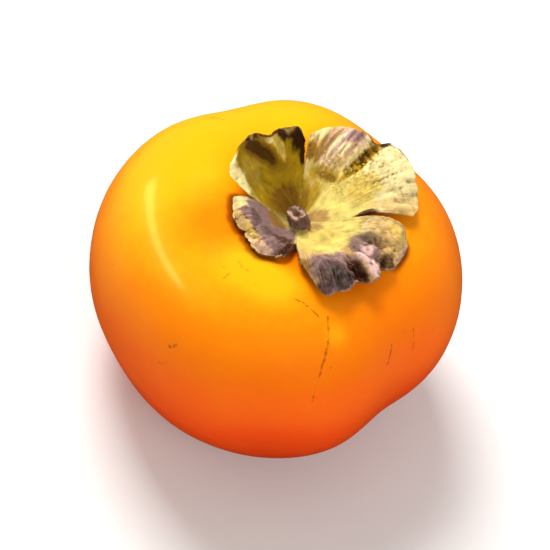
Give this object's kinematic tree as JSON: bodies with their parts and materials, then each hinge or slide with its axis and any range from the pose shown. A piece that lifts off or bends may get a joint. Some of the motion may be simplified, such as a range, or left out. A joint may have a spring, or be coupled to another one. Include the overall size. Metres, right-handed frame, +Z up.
{
  "type": "persimmon",
  "caption": "Whole ripe flat persimmon with four soft lobes and a dried four-sepalled calyx with its stub of stem, resting on its blossom end.",
  "frame": {"origin": "middle of the flat spot that the fruit rests on, under its core", "axes": "+Z up along the fruit's core, from the blossom end to the calyx; the shortest calyx lobe and the lobe beside it face -Y, the front"},
  "size_m": [0.081, 0.0805, 0.069],
  "materials": {
    "fruit": "satin",
    "calyx": "matte",
    "stem_stub": "matte"
  },
  "bodies": {
    "root": {"fruit": "fruit", "calyx": "calyx", "stem_stub": "stem_stub"}
  },
  "joints": []
}
